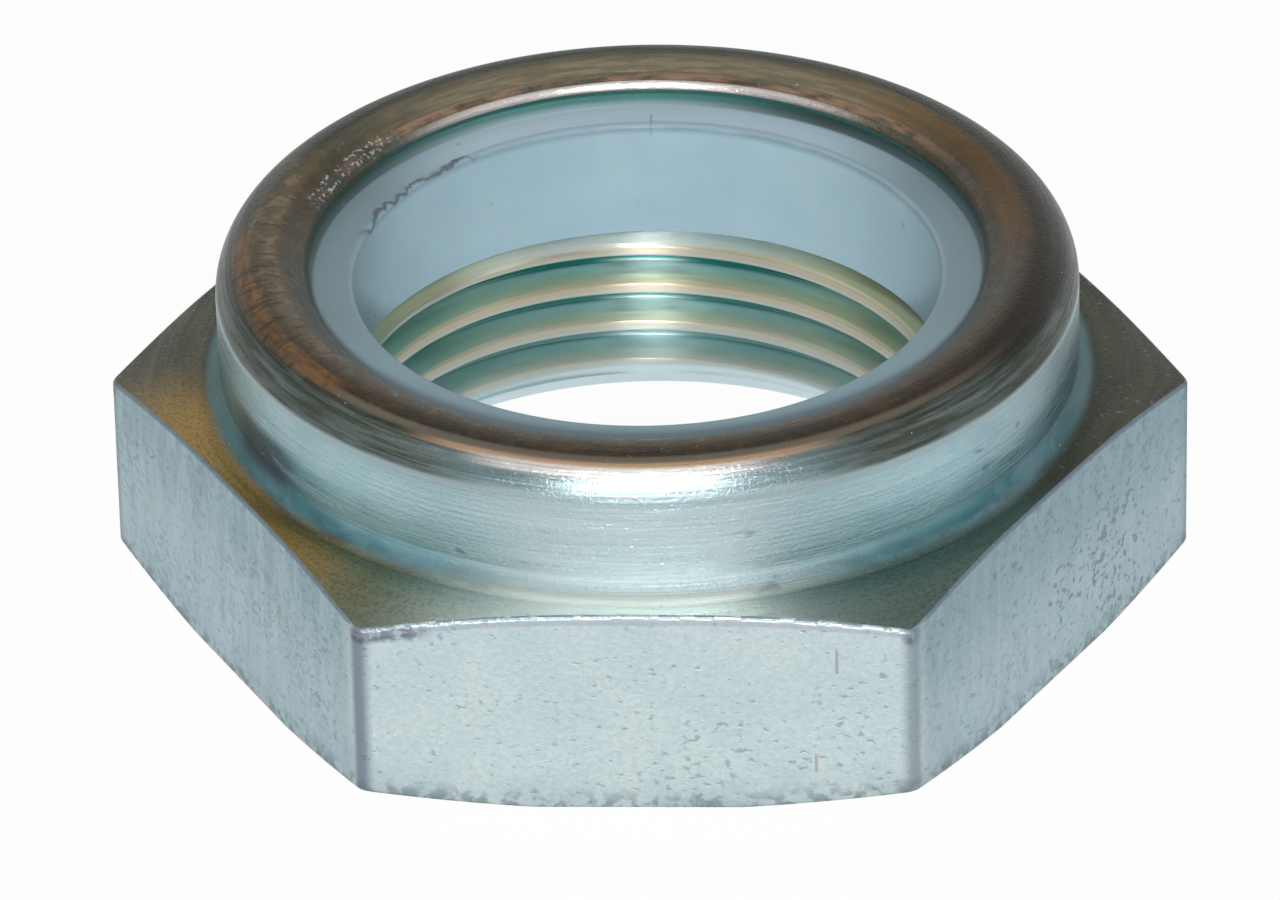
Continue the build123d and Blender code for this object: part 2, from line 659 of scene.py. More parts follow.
    def lip_points(self, start: Place) -> list[SectionPoint]:
        """The lip from the end of its bend round its edge, the pocket under it and the seat.

        Args:
            start: Radius and height of the end of the bend.

        Returns:
            Points from there to the seat.
        """
        edge_top = start[1] - (start[0] - self.lip_radius) * tan(radians(self.bend_turn - 90))
        edge_low = edge_top - self.lip_edge
        slope = tan(radians(self.underside_slope))
        big, small = self.lip_upper_rounding, self.lip_lower_rounding
        upper = (self.lip_radius + big, edge_top - big * tan(radians(90 - self.bend_turn / 2)))
        lower = (self.lip_radius + small, edge_low + small * 1.1)
        rounded = arc(upper, big, self.bend_turn, 180, 8)
        curve = between(start, rounded[0], 5) + rounded
        curve += between(rounded[-1], (self.lip_radius, lower[1]), 3)
        curve += arc(lower, small, 180, 270 - self.underside_slope, 5)
        points = []
        for r, z in curve:
            weight = min(1.0, (start[0] - r) / (start[0] - self.lip_radius - self.tilt_reach))
            sag = min(1.0, max(0.0, (z - lower[1]) / self.sag_depth))
            points.append(SectionPoint(r, z, Finish.TURNED, lip=max(0.0, weight), sag=sag))
        inner = (self.lip_radius + self.underside_step, edge_low + self.underside_step * slope)
        points += points_on([inner], Finish.HIDDEN, lip=0.5)
        under = (self.pocket_radius, edge_low + (self.pocket_radius - self.lip_radius) * slope)
        seat = (self.pocket_radius, self.seat_height)
        ledge = (self.root_radius + self.seat_ledge, self.seat_height)
        return points + points_on([under, *between(under, seat, 3), seat, ledge], Finish.HIDDEN)

    def section(self) -> list[SectionPoint]:
        """The closed section, from the countersink outwards, over the lip and down the bore."""
        return self.hexagon_points() + self.collar_points() + self.thread_rows()

    def origin(self) -> int:
        """Index of the section's point at the foot of the collar's wall."""
        return nearest(self.section(), (self.collar_radius, self.hexagon_height + self.root_fillet))

    def flat_runs(self) -> tuple[float, float]:
        """Runs at the lower and the upper edge of the flats.

        Returns:
            The two runs, in millimetres.
        """
        section = self.section()
        runs = section_runs(section, self.origin())
        on_flat = [run for run, point in zip(runs, section) if point.flat]
        return on_flat[0], on_flat[-1]

    def make(self, tree: TurningTree, materials: dict[Finish, bpy.types.Material]) -> bpy.types.Object:
        """Turns, threads and dresses the body.

        Args:
            tree: The tree that turns the section.
            materials: Material of each finish.

        Returns:
            The body.
        """
        half_crest = self.pitch / 8
        sharp = self.crest_radius + (self.pitch / 2 - half_crest) / tan(radians(30))
        sizes = {titled(name): getattr(self, name) * MM for name in self.TREE_LENGTHS}
        sizes["Sharp Radius"] = sharp * MM
        sizes["Base Slope"] = tan(radians(self.base_angle))
        sizes["Crown Slope"] = tan(radians(self.crown_angle))
        piece = tree.turn("steel_nut_body", self.section(), self.origin(), self.steps, sizes, materials)
        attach(piece, "root")
        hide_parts("nut_body")
        return piece


@dataclass
class NylonRing:
    """Locking ring of nylon on the seat, its bore left plain. Sizes in millimetres."""

    bore_radius: float = 12.08
    squeezed_radius: float = 11.93
    outer_radius: float = 15.5
    seat_height: float = 8.25
    shoulder_height: float = 13.93
    lip_radius: float = 13.72
    lip_ease: float = 0.08
    top_height: float = 13.52
    edge: float = 0.2
    outer_chamfer: float = 0.3
    shoulder_drop: float = 0.06
    lower_chamfer: float = 0.1
    steps: int = 360

    def section(self) -> list[SectionPoint]:
        """The closed section, from the seat outwards, over the top and down the bore.

        Returns:
            Its points, the last on the first.
        """
        low, high, outer, shoulder = self.seat_height, self.top_height, self.outer_radius, self.shoulder_height
        soft, cut, small = self.edge, self.outer_chamfer, self.lower_chamfer
        loop = [(self.bore_radius + small, low), (outer - cut, low), (outer, low + cut)]
        loop += between(loop[-1], (outer, shoulder - cut), 4)
        loop += [(outer, shoulder - cut), (outer - cut, shoulder - self.shoulder_drop)]
        rim, turn = (self.lip_radius + self.lip_ease, high), (self.squeezed_radius + soft, high - soft)
        loop += between(loop[-1], rim, 4) + between(rim, (turn[0], high), 5)
        loop += arc(turn, soft, 90, 180, 6)
        foot = (self.bore_radius, low + small)
        loop += [*between((self.squeezed_radius, turn[1]), foot, 9), foot, loop[0]]
        return points_on(loop, Finish.NYLON)

    def origin(self) -> int:
        """Index of the section's point on the rounded top edge of the bore."""
        return nearest(self.section(), (self.squeezed_radius, self.top_height))

    def make(self, tree: TurningTree, material: bpy.types.Material) -> bpy.types.Object:
        """Turns and dresses the ring.

        Args:
            tree: The tree that turns the section.
            material: The nylon.

        Returns:
            The ring.
        """
        sizes, materials = {"Crowding": 0.0}, {Finish.NYLON: material}
        piece = tree.turn("nylon_lock_ring", self.section(), self.origin(), self.steps, sizes, materials)
        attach(piece, "root")
        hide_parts("nylon_ring")
        return piece


def tint(code: str) -> tuple[float, float, float, float]:
    """A display colour such as "A0B4BC" as linear values.

    Args:
        code: Six hexadecimal digits.

    Returns:
        Red, green, blue and alpha.
    """
    values = [int(code[k : k + 2], 16) / 255 for k in (0, 2, 4)]
    linear = [v / 12.92 if v <= 0.04045 else ((v + 0.055) / 1.055) ** 2.4 for v in values]
    return (*linear, 1.0)


class Effects:
    """Shader node groups that the finishes share."""

    def __init__(self) -> None:
        """Builds every group once."""
        self.place = self._place()
        self.window = self._window()
        self.specks = self._specks()
        self.marks = self._marks()
        self.mottle = self._mottle()

    @staticmethod
    def _group(name: str, inputs: dict[str, object], outputs: dict[str, str]) -> tuple[bpy.types.NodeTree, Graph, dict]:
        """An empty shader group.

        Args:
            name: Name of the group.
            inputs: Name and first value of each input, a number or "vector".
            outputs: Name and kind of each output, "Float" or "Vector".

        Returns:
            The tree, its graph and its inputs as numbers or sockets.
        """
        tree = bpy.data.node_groups.new(name, "ShaderNodeTree")
        for key, value in inputs.items():
            kind = "Vector" if value == "vector" else "Float"
            socket = tree.interface.new_socket(key, in_out="INPUT", socket_type=f"NodeSocket{kind}")
            if kind == "Float":
                socket.default_value = value
        for key, kind in outputs.items():
            tree.interface.new_socket(key, in_out="OUTPUT", socket_type=f"NodeSocket{kind}")
        g = Graph(tree)
        ends = g.add("NodeGroupInput").outputs
        sockets = {key: ends[key] if value == "vector" else Number(g, ends[key]) for key, value in inputs.items()}
        return tree, g, sockets

    def _place(self) -> bpy.types.NodeTree:
        """Where a point lies on the nut: angle in degrees, radius, height and run along the section in mm.

        Returns:
            The group.
        """
        kinds = {"Point": "Vector", "Around": "Vector", "Angle": "Float", "Radius": "Float", "Height": "Float"}
        tree, g, _ = self._group("Place on the nut", {}, kinds | {"Run": "Float"})
        coords = g.add("ShaderNodeTexCoord").outputs["Object"]
        point = g.output("ShaderNodeVectorMath", {0: coords, "Scale": 1 / MM}, operation="SCALE")
        x, y, z = g.parts(point)
        radius = (x * x + y * y).root()
        angle = (g.math("ARCTAN2", y, x) / TURN + 1.0).fraction() * 360.0
        _, run, _ = g.parts(g.output("ShaderNodeUVMap", uv_map=ROW_UV))
        along = (run - RUN_ZERO) * RUN_UNIT
        around = g.vector(x / radius, y / radius, along)
        g.add("NodeGroupOutput", {0: point, 1: around, 2: angle, 3: radius, 4: z, 5: along})
        return tree

    def _window(self) -> bpy.types.NodeTree:
        """One inside a window of angle and run, falling softly to nought outside it.

        Returns:
            The group.
        """
        names = {"Angle": 0.0, "Run": 0.0, "Centre": 0.0, "Half Width": 10.0, "Soft": 5.0}
        names |= {"Run Centre": 0.0, "Run Half": 100.0, "Run Soft": 0.3}
        tree, g, put = self._group("Window on the surface", names, {"Mask": "Float"})
        away = ((put["Angle"] - put["Centre"]) / 360.0 + 0.5).fraction() - 0.5
        side = 1.0 - (away.size() * 360.0).ramp(put["Half Width"], put["Half Width"] + put["Soft"])
        level = put["Run"].hump(put["Run Centre"], put["Run Half"], put["Run Soft"])
        g.add("NodeGroupOutput", {0: side * level})
        return tree

    def _specks(self) -> bpy.types.NodeTree:
        """Scattered specks with uneven outlines, thinned out by a slow noise.

        Returns:
            The group.
        """
        names = {"Vector": "vector", "Scale": 3.0, "Limit": 0.66, "Soft": 0.05, "Cover Scale": 0.2, "Cover": 0.5}
        tree, g, put = self._group("Specks", names, {"Mask": "Float"})
        fine = g.noise({"Vector": put["Vector"], "Scale": put["Scale"], "Detail": 2.0})
        slow = g.noise({"Vector": put["Vector"], "Scale": put["Cover Scale"], "Detail": 1.0})
        limit = put["Limit"] + (0.5 - slow) * put["Cover"]
        g.add("NodeGroupOutput", {0: fine.ramp(limit, limit + put["Soft"])})
        return tree

    def _marks(self) -> bpy.types.NodeTree:
        """Fine marks that a lathe tool leaves round the axis, as a value and as a height.

        Returns:
            The group.
        """
        names = {"Around": "vector", "Fineness": 8.0, "Length": 1.5}
        tree, g, put = self._group("Turning marks", names, {"Value": "Float", "Height": "Float"})
        x, y, run = g.parts(put["Around"])
        stretched = g.vector(x * put["Length"], y * put["Length"], run * put["Fineness"])
        value = g.noise({"Vector": stretched, "Scale": 1.0, "Detail": 4.0, "Roughness": 0.6}).ramp(0.3, 0.7)
        rings = g.noise({"W": run * put["Fineness"] * 1.7, "Detail": 3.0}, noise_dimensions="1D")
        g.add("NodeGroupOutput", {0: value, 1: value * 0.6 + rings * 0.4})
        return tree

    def _mottle(self) -> bpy.types.NodeTree:
        """Cloudy patches between nought and one.

        Returns:
            The group.
        """
        names = {"Vector": "vector", "Scale": 0.5, "Low": 0.35, "High": 0.65, "Detail": 4.0}
        tree, g, put = self._group("Mottle", names, {"Value": "Float"})
        cloud = g.noise({"Vector": put["Vector"], "Scale": put["Scale"], "Detail": put["Detail"], "Distortion": 0.4})
        g.add("NodeGroupOutput", {0: cloud.ramp(put["Low"], put["High"])})
        return tree


class Dressing:
    """One material under construction: its graph, where its points lie and how colours are laid over each other."""

    def __init__(self, name: str, effects: Effects) -> None:
        """Starts a material with a Principled shader.

        Args:
            name: Name of the material.
            effects: The shared groups.
        """
        self.material = bpy.data.materials.new(name)
        self.material.use_nodes = True
        tree = self.material.node_tree
        self.shader = tree.nodes["Principled BSDF"]
        self.g = Graph(tree)
        self.effects = effects
        place = self._use(effects.place, {}).outputs
        self.point, self.around = place["Point"], place["Around"]
        self.angle, self.radius, self.height, self.run = (
            Number(self.g, place[name]) for name in ("Angle", "Radius", "Height", "Run")
        )

    def _use(self, group: bpy.types.NodeTree, inputs: dict) -> bpy.types.Node:
        """Places a group in this material."""
        return self.g.add("ShaderNodeGroup", inputs, node_tree=group)

    def _mask(self, group: bpy.types.NodeTree, inputs: dict) -> Number:
        """Places a group and gives its first output."""
        return Number(self.g, self._use(group, inputs).outputs[0])

    def window(self, centre: float, half: float, soft: float, level: tuple = ()) -> Number:
        """A mask round an angle and, where level is given, a run (centre, half width, softness).

        Args:
            centre: Middle of the window, in degrees.
            half: Half its width, in degrees.
            soft: Width of its soft edge, in degrees.
            level: Middle, half width and soft edge of the run, in millimetres.

        Returns:
            The mask.
        """
        inputs = {"Angle": self.angle, "Run": self.run, "Centre": centre, "Half Width": half, "Soft": soft}
        inputs |= dict(zip(("Run Centre", "Run Half", "Run Soft"), level))
        return self._mask(self.effects.window, inputs)

    def specks(self, vector: object, scale: float, limit: float, soft: float, thin_scale: float, thin: float) -> Number:
        """A mask of scattered specks.

        Args:
            vector: Coordinates of the pattern.
            scale: Scale of the specks.
            limit: How high the noise has to rise for a speck.
            soft: How soft their edges are.
            thin_scale: Scale of the slow noise that thins them out.
            thin: How much it thins them out.

        Returns:
            The mask.
        """
        inputs = {"Vector": vector, "Scale": scale, "Limit": limit, "Soft": soft}
        return self._mask(self.effects.specks, inputs | {"Cover Scale": thin_scale, "Cover": thin})

    def marks(self, fineness: float, length: float) -> tuple[Number, Number]:
        """Turning marks as value and height."""
        node = self._use(self.effects.marks, {"Around": self.around, "Fineness": fineness, "Length": length})
        return Number(self.g, node.outputs[0]), Number(self.g, node.outputs[1])

    def mottle(self, vector: object, scale: float, low: float, high: float, detail: float) -> Number:
        """Cloudy patches on any coordinates."""
        inputs = {"Vector": vector, "Scale": scale, "Low": low, "High": high, "Detail": detail}
        return self._mask(self.effects.mottle, inputs)

    def cloud(self, scale: float, low: float = 0.35, high: float = 0.65, detail: float = 4.0) -> Number:
        """Cloudy patches as long as they are wide."""
        return self.mottle(self.point, scale, low, high, detail)

    def streaks(self, length: float, fine: float, low: float = 0.35, high: float = 0.65, detail: float = 4.0) -> Number:
        """Cloudy patches drawn out round the axis."""
        return self.mottle(self.streaked(length, fine), 1.0, low, high, detail)

    def stretched(self, x: float, y: float, z: float) -> bpy.types.NodeSocket:
        """The point with its three numbers scaled, for marks longer one way."""
        return self.g.output("ShaderNodeMapping", {"Vector": self.point, "Scale": (x, y, z)})

    def streaked(self, length: float, fineness: float) -> bpy.types.NodeSocket:
        """Coordinates that follow the turning, for marks long round the axis."""
        return self.g.output("ShaderNodeMapping", {"Vector": self.around, "Scale": (length, length, fineness)})

    def lay(self, under: object, *coats: tuple) -> bpy.types.NodeSocket:
        """Lays colours over each other.

        Args:
            under: The lowest colour, as a code or a socket.
            *coats: Colour and mask of each coat, and a blend type where it isn't a plain mix, the last on top.

        Returns:
            The colour of them all.
        """
        for over, mask, *kind in coats:
            node = self.g.add("ShaderNodeMix", data_type="RGBA", blend_type=kind[0] if kind else "MIX")
            self.g.feed(node.inputs["Factor"], mask)
            for socket, value in zip([s for s in node.inputs if s.type == "RGBA"], (under, over)):
                self.g.feed(socket, tint(value) if isinstance(value, str) else value)
            under = next(s for s in node.outputs if s.type == "RGBA")
        return under

    def bands(self, value: Number, stops: dict[float, str]) -> bpy.types.NodeSocket:
        """Colours that change with a value, the values of the stops in rising order.

        Args:
            value: What the colours change with.
            stops: Colour code at each value.

        Returns:
            The colour.
        """
        low, high = min(stops), max(stops)
        node = self.g.add("ShaderNodeValToRGB", {0: (value - low) / (high - low)})
        elements = node.color_ramp.elements
        node.color_ramp.interpolation = "LINEAR"
        while len(elements) < len(stops):
            elements.new(0.5)
        for element in elements:
            element.position = 0.0
        for element, (at, code) in zip(elements, stops.items()):
            element.position = (at - low) / (high - low)
            element.color = tint(code)
        return node.outputs[0]

    def finish(
        self, colour: object, metallic: object, roughness: object, height: object, depth: float, **constants: float
    ) -> bpy.types.Material:
        """Joins everything to the shader.

        Args:
            colour: Base colour.
            metallic: Metallic value or number.
            roughness: Roughness value or number.
            height: Height for the bump, 0 to 1.
            depth: What a height of 1 stands for, in millimetres.
            **constants: Other sockets of the shader that are the same all over.

        Returns:
            The finished material.
        """
        bump = self.g.output("ShaderNodeBump", {"Strength": 1.0, "Distance": depth * MM, "Height": height})
        ends = {"Base Color": colour, "Metallic": metallic, "Roughness": roughness, "Normal": bump}
        ends |= {titled(name): value for name, value in constants.items()}
        for name, value in ends.items():
            self.g.feed(self.shader.inputs[name], value)
        return self.material


@dataclass(frozen=True)
class PlatedFlats:
    """Dull zinc plating on the six flats, with pits and worn edges, and painted shade on the side flats, along the
    corners and in a line under the front top edge.
    """

    start: float
    end: float
    metallic: float = 0.75
    roughness: float = 0.46
    scratches: tuple = ((292.6, 1.8, 0.5), (290.4, 6.9, 0.35), (222.0, 3.6, 0.4))

    def make(self, effects: Effects) -> bpy.types.Material:
        """Builds the material.

        Args:
            effects: The shared groups.

        Returns:
            The material.
        """
        d = Dressing("plated_flats", effects)
        start, end = self.start, self.end
        cloud, frost = d.cloud(0.35), d.cloud(4.0, 0.3, 0.7)
        front, right = d.window(270.0, 31.0, 2.0), d.window(330.0, 28.0, 3.0)
        aside = 1.0 - front
        streaks = d.mottle(d.stretched(1.6, 1.6, 0.35), 1.0, 0.4, 0.65, 3.0)
        local = (d.angle / 60.0 + 0.5).fraction() - 0.5
        corner = 1.0 - (local.size() * 60.0).ramp(0.25, 1.5)
        tip = corner * d.run.hump(end - 0.35, 0.15, 0.35) * d.cloud(1.6, 0.3, 0.5)
        pits = d.specks(d.stretched(1.0, 1.0, 1.7), 2.3, 0.6, 0.12, 0.2, 0.25)
        pocks = d.specks(d.point, 2.9, 0.57, 0.09, 0.25, 0.35)
        rough_end = d.window(346.0, 13.0, 16.0) * (1.0 - d.run.ramp(start + 3.5, end + 1.0) * 0.5)
        dark = (pits * (0.75 + front * 0.25)).most(pocks * rough_end).most(pocks * aside * 0.4)
        low = (1.0 - d.run.ramp(start - 0.2, start + 1.1)) * d.cloud(1.8, 0.42, 0.6, 3.0)
        bright = d.specks(d.point, 4.5, 0.78, 0.03, 0.2, 0.1)
        marks = [d.window(centre, 0.08, 0.16, (end - below, half, 0.2)) for centre, below, half in self.scratches]
        nick = d.window(243.4, 1.3, 3.2, (end - 0.3, 0.1, 0.45)) * d.cloud(2.2, 0.28, 0.56, 2.0)
        top = d.run.ramp(end - 0.06, end + 0.02)
        chips = d.mottle(d.stretched(1.0, 1.0, 0.2), 1.5, 0.42, 0.56, 3.0)
        colour = d.lay(
            d.bands(d.run, {start - 0.3: "8E9CA0", start + 0.5: "AEBDC0", start + 2.0: "BACACC", end: "B8C8CB"}),
            ("C8D0CC", cloud * 0.6),
            ("9DB2BA", frost * 0.45),
            # Painted shade: the side flats darker and bluer, and darker still towards their top, as the front lamp
            # lights the front flat most.
            ("9AB2BA", aside * 0.6),
            ("7F98A1", d.run.ramp(start + 3.0, end) * aside * 0.6),
            ("B6CCD2", streaks * aside * 0.35),
            # Painted shade along the rounded corners between the flats, deeper on the front-left corner against the
            # left lamp.
            ("7E8B94", corner * (0.72 + d.window(240.0, 3.0, 3.0) * 0.28)),
            ("4A5760", tip * 0.8),
            # Painted shade: the right flat darker towards its top.
            ("86A0A9", right * d.run.ramp(start + 2.0, end) * 0.5),
            ("56707A", dark * (0.42 + aside * 0.16)),
            ("66757B", low * 0.75),
            ("F2F6F7", bright),
            *(("86706C", mark * 0.5) for mark in marks),
            ("5F6B74", nick * 0.9),
            ("6F7B85", top * (aside + chips * front * 0.9) * 0.8),
            # A painted shade line just under the front top edge.
            ("9A96A6", d.run.hump(end - 0.2, 0.05, 0.12) * front * 0.45),
        )
        rough = self.roughness + frost * 0.08 - bright * 0.2
        height = frost * 0.3 - dark * 0.25 + cloud * 0.3 - nick * 0.6 - top * chips
        return d.finish(colour, self.metallic, rough, height, 0.03)


@dataclass(frozen=True)
class PlatedTurning:
    """Turned surfaces of the collar, lip and crown: zinc with a brown and teal passivation, the brown on the up-facing
    faces partly a painted reflection of a dark room, with painted highlights and painted shade.
    """

    roughness: float = 0.26
    bend_turn: float = 125.0
    wall_top: float = 3.25
    bend_end: float = 7.5
    edge_start: float = 8.19
    edge_end: float = 8.52

    # Wall and hollow colours by run: the sides painted darker than the front and their hollow darkest, as painted
    # shade; the front's hollow painted pale, as a painted reflection of the lit wall.
    WALL_SHADED_SIDE = {
        -1.3: "59645C", -1.0: "53635E", -0.7: "4C6464", -0.4: "4C686D", -0.1: "66878D", 0.3: "7FA0A6", 0.9: "92B4BB",
        2.0: "A4C0C6", 3.3: "A2BBC0",
    }
    WALL_LIT_FRONT = {
        -1.3: "D2DAD0", -1.0: "B4BEB8", -0.7: "9AA6A5", -0.4: "8F9EA0", -0.1: "A3B2B5", 0.6: "B0C2C6", 3.3: "AEC0C4",
    }
    # Bend colours by its angle: pale where it faces outwards, a tan and orange edge of the painted reflection near 52
    # to 56 degrees, and brown where it faces up, partly the passivation's tint and partly a painted reflection of a
    # dark room above.
    BEND = {
        0.0: "A0B4B8", 30.0: "98A8AA", 44.0: "9EA39E", 52.0: "A69C8C", 56.0: "9A7F63", 60.0: "705A44", 66.0: "51483B",
        74.0: "50463A", 88.0: "585042", 106.0: "57554A", 125.0: "575A4E", 142.0: "5E6256",
    }

    def _crown(self, d: Dressing, grain: Number) -> bpy.types.NodeSocket:
        """Colours of the hexagon's top face: dark olive, partly the passivation's tint and partly a painted reflection
        of a dark room, with a painted reflection of the lit collar wall at the front.

        Args:
            d: The material under construction.
            grain: Fine mottling.

        Returns:
            The colour.
        """
        golden = d.window(212.0, 17.0, 18.0) * d.streaks(2.0, 0.8, 0.2, 0.5)
        # glow: a pale painted reflection, on the crown's front, of the collar wall lit by the front lamp.
        glow = d.window(270.0, 8.0, 26.0)
        return d.lay(
            "4B4C3F",
            ("605F4F", d.streaks(3.0, 1.2)),
            ("AE8C48", golden * 0.9),
            ("78826B", d.window(244.0, 6.0, 14.0) * 0.7),
            ("F6FAF2", glow),
            ("6B8078", d.window(308.0, 12.0, 18.0) * 0.7),
            ("3B382D", d.window(2.0, 24.0, 20.0) * 0.5),
            ("36423B", grain * (1.0 - glow) * 0.4),
            ("8FA39C", d.specks(d.point, 3.6, 0.66, 0.06, 0.3, 0.2) * 0.35),
        )

    def _wall(self, d: Dressing, smudge: Number) -> bpy.types.NodeSocket:
        """Colours of the hollow at the collar's foot and of its wall, lit at the front and shaded on the sides as
        painted light and shade.

        Args:
            d: The material under construction.
            smudge: Mask of dark smudges.

        Returns:
            The colour.
        """
        side = 1.0 - d.window(270.0, 12.0, 26.0)
        teal = d.run.hump(0.2, 0.6, 1.2) * side
        shoulders = d.window(237.0, 7.0, 14.0) + d.window(306.0, 7.0, 14.0)
        stain = d.window(209.5, 4.0, 7.0, (0.5, 0.6, 0.7)) * d.streaks(5.0, 1.2, 0.2, 0.5)
        return d.lay(
            d.bands(d.run, self.WALL_LIT_FRONT),
            (d.bands(d.run, self.WALL_SHADED_SIDE), side),
            ("477E85", teal * d.streaks(5.0, 1.2, 0.3, 0.6) * 0.7),
            ("86AAB6", d.streaks(6.0, 0.7, 0.4, 0.62, 5.0) * side * 0.45),
            # Painted shade: the wall darker away from the front.
            ("667F80", (1.0 - d.window(273.0, 56.0, 28.0)) * 0.75),
            ("BCE2EA", shoulders * d.run.hump(1.4, 1.2, 0.8) * 0.35),
            ("414E58", stain * 0.85),
            ("55656D", smudge * 0.55),
        )

    def _lip(self, d: Dressing, phase: Number, grain: Number) -> bpy.types.NodeSocket:
        """Colours of the bend and the lip's top, by the angle of the bend in degrees, with painted highlights, painted
        reflections and painted shade.

        Args:
            d: The material under construction.
            phase: Angle of the bend.
            grain: Fine mottling.

        Returns:
            The colour.
        """

        def patch(around: tuple, bend: tuple) -> Number:
            """One inside a window of the angle round the axis and of the angle of the bend."""
            return d.window(*around) * phase.hump(*bend)

        streaks = d.streaks(5.0, 3.5, 0.4, 0.6, 5.0)
        # near and far: painted shade on the bend away from its front, where the front lamp's highlight is not, deeper
        # further round.
        near = (1.0 - d.window(271.0, 8.0, 8.0)) * phase.hump(33.0, 13.0, 14.0)
        far = (1.0 - d.window(271.0, 18.0, 16.0)) * phase.hump(34.0, 22.0, 8.0)
        brown = phase.ramp(56.0, 72.0)
        hue, blots = d.streaks(3.0, 1.2, 0.4, 0.6, 2.0), d.cloud(1.3, 0.5, 0.66)
        dots = d.specks(d.point, 3.6, 0.68, 0.06, 0.3, 0.2)
        nicks = d.specks(d.streaked(45.0, 0.8), 1.0, 0.58, 0.06, 0.1, 0.2)
        broken = d.specks(d.streaked(70.0, 5.0), 1.0, 0.56, 0.08, 0.05, 0.1)
        facing = d.window(271.0, 36.0, 30.0)
        copper = patch((215.5, 5.0, 6.0), (66.0, 6.0, 10.0)).most(patch((193.0, 12.0, 8.0), (64.0, 8.0, 10.0)) * 0.7)
        red = d.window(92.0, 42.0, 40.0) * d.streaks(8.0, 1.5, 0.35, 0.6) * phase.hump(136.0, 4.0, 7.0)
        rim = d.run.hump((self.edge_start + self.edge_end) / 2, (self.edge_end - self.edge_start) / 2, 0.06)
        return d.lay(
            d.bands(phase, self.BEND),
            # Painted shade beside the front highlight.
            ("6C7F82", near * (0.75 + streaks * 0.25)),
            ("3F443B", far * (0.75 + streaks * 0.25)),
            ("93A5A8", near * d.streaks(4.0, 6.0, 0.52, 0.66) * (1.0 - far * 0.6) * 0.5),
            # A painted orange edge of the reflection and a painted highlight on the bend's front, under the front lamp.
            ("CCA582", patch((268.0, 20.0, 14.0), (52.0, 2.5, 4.0)) * 0.85),
            ("F4EFE8", patch((268.0, 14.0, 10.0), (43.0, 5.0, 5.0)) * 0.68),
            ("6E5539", hue * brown * 0.6),
            ("343A33", grain * brown * 0.45),
            ("857A5C", blots * brown * 0.3),
            ("8FA39C", dots * brown * 0.4),
            ("2E332B", patch((100.0, 60.0, 40.0), (66.0, 16.0, 20.0)) * 0.78),
            ("968D74", patch((90.0, 26.0, 40.0), (110.0, 12.0, 16.0)) * (0.6 + d.streaks(9.0, 4.0, 0.4, 0.6) * 0.4)),
            ("B8937A", red * 0.75),
            ("24261E", (1.0 - d.window(271.0, 40.0, 34.0)) * phase.hump(66.0, 14.0, 20.0) * 0.62),
            # Painted shade on the lip's right side.
            ("2B2422", patch((358.0, 20.0, 20.0), (62.0, 14.0, 16.0)) * 0.5),
            ("86785E", patch((182.0, 18.0, 20.0), (88.0, 12.0, 14.0)) * (0.3 + blots * 0.5)),
            ("3E3F38", patch((182.0, 22.0, 20.0), (132.0, 16.0, 12.0)) * 0.5),
            ("3A4136", patch((92.0, 30.0, 30.0), (90.0, 6.0, 12.0)) * 0.5),
            ("24342A", (1.0 - d.window(271.0, 60.0, 30.0)) * phase.hump(68.0, 8.0, 12.0) * 0.3),
            # On the front, part of the painted reflection: a dark band near the inner edge and a pale line by the
            # orange edge.
            ("2E2B22", facing * phase.hump(80.0, 8.0, 9.0) * 0.5),
            ("8C8A7E", facing * phase.hump(62.0, 2.5, 5.0) * 0.45),
            ("8E6642", copper * (0.35 + d.streaks(14.0, 4.0, 0.4, 0.6) * 0.5)),
            ("2E2D27", nicks * d.window(196.0, 20.0, 12.0) * phase.hump(80.0, 26.0, 12.0) * 0.5),
            ("85683C", patch((30.0, 18.0, 24.0), (108.0, 10.0, 16.0)) * (0.35 + hue * 0.3 + blots * 0.3)),
            # Painted shade on the lip's right side.
            ("332D29", d.window(352.0, 34.0, 26.0) * brown * 0.48),
            ("C4C9CA", broken * d.window(152.0, 9.0, 6.0) * phase.hump(134.0, 8.0, 5.0) * 0.8),
            # The rim of the lip's edge is darkened away from the back and the front, and carries a painted highlight at
            # the back; the face under it is painted dark teal, painted shade under the lip with a teal tint.
            ("262C28", rim * (1.0 - d.window(95.0, 50.0, 40.0)) * (1.0 - facing) * 0.6),
            ("F2E8E6", rim * d.window(95.0, 24.0, 24.0) * 0.62),
            ("3F7F78", d.run.ramp(self.edge_end + 0.02, self.edge_end + 0.12) * 0.85),
        )

    def make(self, effects: Effects) -> bpy.types.Material:
        """Builds the material.

        Args:
            effects: The shared groups.

        Returns:
            The material.
        """
        d = Dressing("plated_turning", effects)
        value, height = d.marks(7.0, 2.2)
        grain = d.cloud(6.0, 0.4, 0.7, 3.0)
        phase = (d.run - self.wall_top) / (self.bend_end - self.wall_top) * self.bend_turn
        smudge = d.specks(d.streaked(9.0, 1.2), 1.0, 0.68, 0.1, 0.3, 0.3)
        bright = d.specks(d.point, 4.2, 0.76, 0.03, 0.2, 0.1)
        colour = d.lay(
            self._crown(d, grain),
            (self._wall(d, smudge), d.run.ramp(-1.3, -0.7)),
            (self._lip(d, phase, grain), d.run.ramp(self.wall_top - 0.1, self.wall_top + 0.1)),
            ("FFFFFF", value * 0.14, "SOFT_LIGHT"),
            ("C4CCC8", bright * 0.7),
        )
        rough = self.roughness + value * 0.1 + grain * 0.06 + d.run.hump(-0.6, 0.5, 0.3) * 0.28
        relief = height * 0.6 - smudge * 0.1 + bright * 0.4 + grain * 0.3
        return d.finish(colour, 0.92, rough, relief, 0.02, anisotropic=0.4, anisotropic_rotation=0.25)


